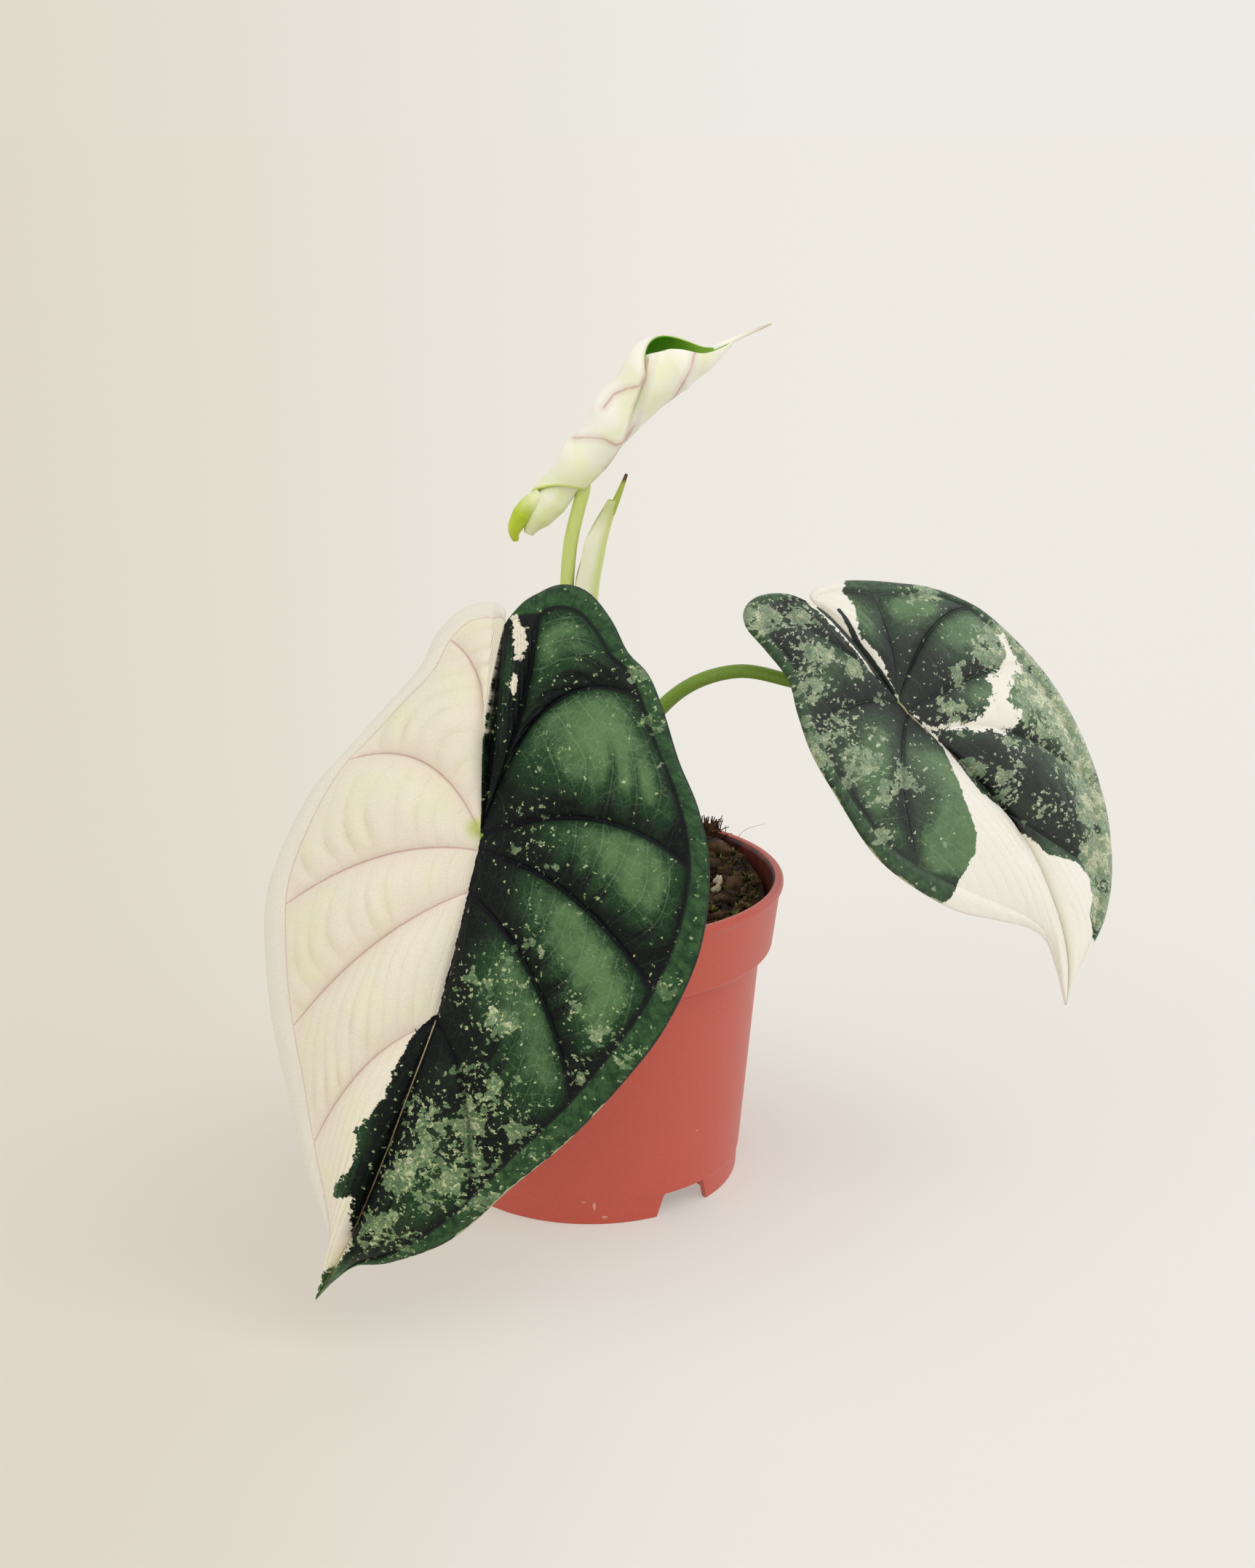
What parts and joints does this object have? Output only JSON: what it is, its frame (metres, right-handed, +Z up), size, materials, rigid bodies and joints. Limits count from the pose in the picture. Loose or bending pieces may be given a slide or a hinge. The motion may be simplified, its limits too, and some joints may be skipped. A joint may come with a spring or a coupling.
{
  "type": "potted albo dragon scale alocasia",
  "caption": "Young albo dragon scale alocasia with quilted, half-white shield leaves and a rolled new leaf, in a small plastic nursery pot.",
  "frame": {"origin": "centre of the object's box on the surface that the pot stands on", "axes": "+Z up along the pot's axis, -Y towards the side that the front leaf faces, +X towards the right leaf"},
  "size_m": [0.1876, 0.1358, 0.1994],
  "materials": {
    "pot_plastic": "thin satin polypropylene, terracotta red",
    "potting_mix": "dark fibrous potting mix with bark and moss",
    "stem_base": "tan and green stem base with leaf scars",
    "stalk": "smooth satin yellow-green stalk",
    "quilted_leaf": "leathery quilted leaf, one half cream and the other dark green",
    "mottled_leaf": "leathery quilted leaf, green mottled with cream",
    "new_leaf": "soft cream rolled leaf with pink veins",
    "leaf_sheath": "thin papery sheath with a withered brown point"
  },
  "bodies": {
    "root": {"pot": "pot_plastic", "soil": "potting_mix", "crown": "stem_base", "petiole_front": "stalk", "petiole_right": "stalk", "petiole_young": "stalk", "blade_front": "quilted_leaf", "blade_right": "mottled_leaf", "blade_young": "new_leaf", "sheath_young": "leaf_sheath"}
  },
  "joints": []
}
